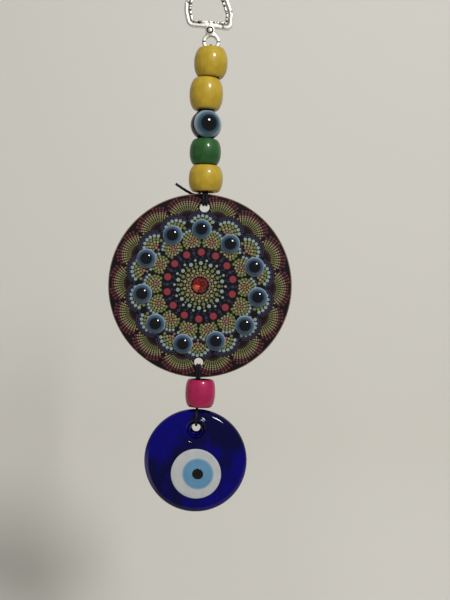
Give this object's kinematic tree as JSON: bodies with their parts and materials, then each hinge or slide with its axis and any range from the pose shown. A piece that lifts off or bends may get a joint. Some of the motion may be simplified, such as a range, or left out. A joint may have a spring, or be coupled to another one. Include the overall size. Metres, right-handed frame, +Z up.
{
  "type": "evil eye wall hanging",
  "caption": "Evil eye wall hanging: cast hanger, beaded cord, round printed board set with domed eyes and a faceted stone, and a blue glass eye bead below it.",
  "frame": {"origin": "point where a nail carries the hanger: top of the hanger's opening, in the middle of its thickness", "axes": "+Z up along the hanging string, -Y out of the ornament's front, +X to the right as seen from the front"},
  "size_m": [0.06, 0.0112, 0.1741],
  "materials": {
    "cast_metal": "bright cast alloy with a polished rim",
    "cord": "waxed twisted cord",
    "yellow_wood": "stained and varnished",
    "green_wood": "stained and varnished",
    "pink_wood": "stained and varnished",
    "navy_ball": "opaque polished glass",
    "ball_white": "opaque polished glass",
    "ball_blue": "opaque polished glass",
    "ball_black": "opaque polished glass",
    "fibreboard": "bare fibreboard",
    "printed_sheet": "glossy varnished print",
    "red_stone": "faceted acrylic",
    "eye_pale": "cast resin",
    "eye_blue": "cast resin",
    "eye_black": "cast resin",
    "cobalt_glass": "deep transparent cobalt",
    "white_glass": "opaque fused glass",
    "light_blue_glass": "opaque fused glass",
    "black_glass": "opaque fused glass"
  },
  "bodies": {
    "hanger": {"hanger_frame": "cast_metal"},
    "string_turn": {"upper_cord_bend": "cord"},
    "upper_string": {"upper_cord_strands": "cord"},
    "top_bead": {"bead_yellow_top": "yellow_wood"},
    "second_bead": {"bead_yellow_second": "yellow_wood"},
    "eye_bead": {"eye_bead_body": "navy_ball", "eye_bead_white": "ball_white", "eye_bead_iris": "ball_blue", "eye_bead_pupil": "ball_black"},
    "green_bead": {"bead_green": "green_wood"},
    "bottom_bead": {"bead_yellow_bottom": "yellow_wood"},
    "knot": {"upper_knot": "cord", "cord_tail": "cord"},
    "disc_loop": {"disc_top_loop": "cord"},
    "disc": {"disc_board": "fibreboard", "disc_print": "printed_sheet", "centre_stone": "red_stone", "eye_01_body": "eye_pale", "eye_01_iris": "eye_blue", "eye_01_pupil": "eye_black", "eye_02_body": "eye_pale", "eye_02_iris": "eye_blue", "eye_02_pupil": "eye_black", "eye_03_body": "eye_pale", "eye_03_iris": "eye_blue", "eye_03_pupil": "eye_black", "eye_04_body": "eye_pale", "eye_04_iris": "eye_blue", "eye_04_pupil": "eye_black", "eye_05_body": "eye_pale", "eye_05_iris": "eye_blue", "eye_05_pupil": "eye_black", "eye_06_body": "eye_pale", "eye_06_iris": "eye_blue", "eye_06_pupil": "eye_black", "eye_07_body": "eye_pale", "eye_07_iris": "eye_blue", "eye_07_pupil": "eye_black", "eye_08_body": "eye_pale", "eye_08_iris": "eye_blue", "eye_08_pupil": "eye_black", "eye_09_body": "eye_pale", "eye_09_iris": "eye_blue", "eye_09_pupil": "eye_black", "eye_10_body": "eye_pale", "eye_10_iris": "eye_blue", "eye_10_pupil": "eye_black", "eye_11_body": "eye_pale", "eye_11_iris": "eye_blue", "eye_11_pupil": "eye_black"},
    "lower_loop": {"disc_bottom_loop": "cord"},
    "lower_string": {"lower_cord_strands": "cord"},
    "pink_bead": {"bead_pink": "pink_wood"},
    "small_knot": {"lower_knot": "cord"},
    "glass_cord": {"glass_loop": "cord"},
    "glass": {"nazar_body": "cobalt_glass", "nazar_white": "white_glass", "nazar_blue": "light_blue_glass", "nazar_pupil": "black_glass"}
  },
  "joints": [
    {"name": "ring_sway", "type": "hinge", "parent": "hanger", "child": "string_turn", "pos_m": [0, 0, -0.0178], "axis": [0, 1, 0], "range_deg": [-35, 35]},
    {"name": "ring_swing", "type": "hinge", "parent": "string_turn", "child": "upper_string", "pos_m": [0, 0, -0.0216], "axis": [1, 0, 0], "range_deg": [-22, 22]},
    {"name": "top_bead_spin", "type": "hinge", "parent": "upper_string", "child": "top_bead", "pos_m": [0.0002, 0, -0.02467], "axis": [0, 0, 1], "continuous": true},
    {"name": "second_bead_spin", "type": "hinge", "parent": "upper_string", "child": "second_bead", "pos_m": [-0.0009, 0, -0.035], "axis": [0, 0, 1], "continuous": true},
    {"name": "eye_bead_spin", "type": "hinge", "parent": "upper_string", "child": "eye_bead", "pos_m": [-0.0006, 0, -0.045], "axis": [0, 0, 1], "continuous": true},
    {"name": "green_bead_spin", "type": "hinge", "parent": "upper_string", "child": "green_bead", "pos_m": [-0.0005, 0, -0.054], "axis": [0, 0, 1], "continuous": true},
    {"name": "bottom_bead_spin", "type": "hinge", "parent": "upper_string", "child": "bottom_bead", "pos_m": [0, 0, -0.0627], "axis": [0, 0, 1], "continuous": true},
    {"name": "disc_twist", "type": "hinge", "parent": "upper_string", "child": "knot", "pos_m": [0, 0, -0.0658], "axis": [0, 0, 1], "range_deg": [-90, 90]},
    {"name": "disc_rock", "type": "hinge", "parent": "knot", "child": "disc_loop", "pos_m": [0, 0, -0.0658], "axis": [1, 0, 0], "range_deg": [-6, 6]},
    {"name": "disc_sway", "type": "hinge", "parent": "disc_loop", "child": "disc", "pos_m": [0, 0, -0.0721], "axis": [0, 1, 0], "range_deg": [-5, 5]},
    {"name": "lower_sway", "type": "hinge", "parent": "disc", "child": "lower_loop", "pos_m": [0, 0, -0.1228], "axis": [0, 1, 0], "range_deg": [-8, 8]},
    {"name": "lower_rock", "type": "hinge", "parent": "lower_loop", "child": "lower_string", "pos_m": [0, 0, -0.1296], "axis": [1, 0, 0], "range_deg": [-12, 12]},
    {"name": "pink_bead_spin", "type": "hinge", "parent": "lower_string", "child": "pink_bead", "pos_m": [0.0009, 0, -0.133], "axis": [0, 0, 1], "continuous": true},
    {"name": "glass_twist", "type": "hinge", "parent": "lower_string", "child": "small_knot", "pos_m": [0, 0, -0.1363], "axis": [0, 0, 1], "range_deg": [-90, 90]},
    {"name": "glass_rock", "type": "hinge", "parent": "small_knot", "child": "glass_cord", "pos_m": [0, 0, -0.1363], "axis": [1, 0, 0], "range_deg": [-7, 7]},
    {"name": "glass_sway", "type": "hinge", "parent": "glass_cord", "child": "glass", "pos_m": [0, 0, -0.1449], "axis": [0, 1, 0], "range_deg": [-12, 12]}
  ]
}
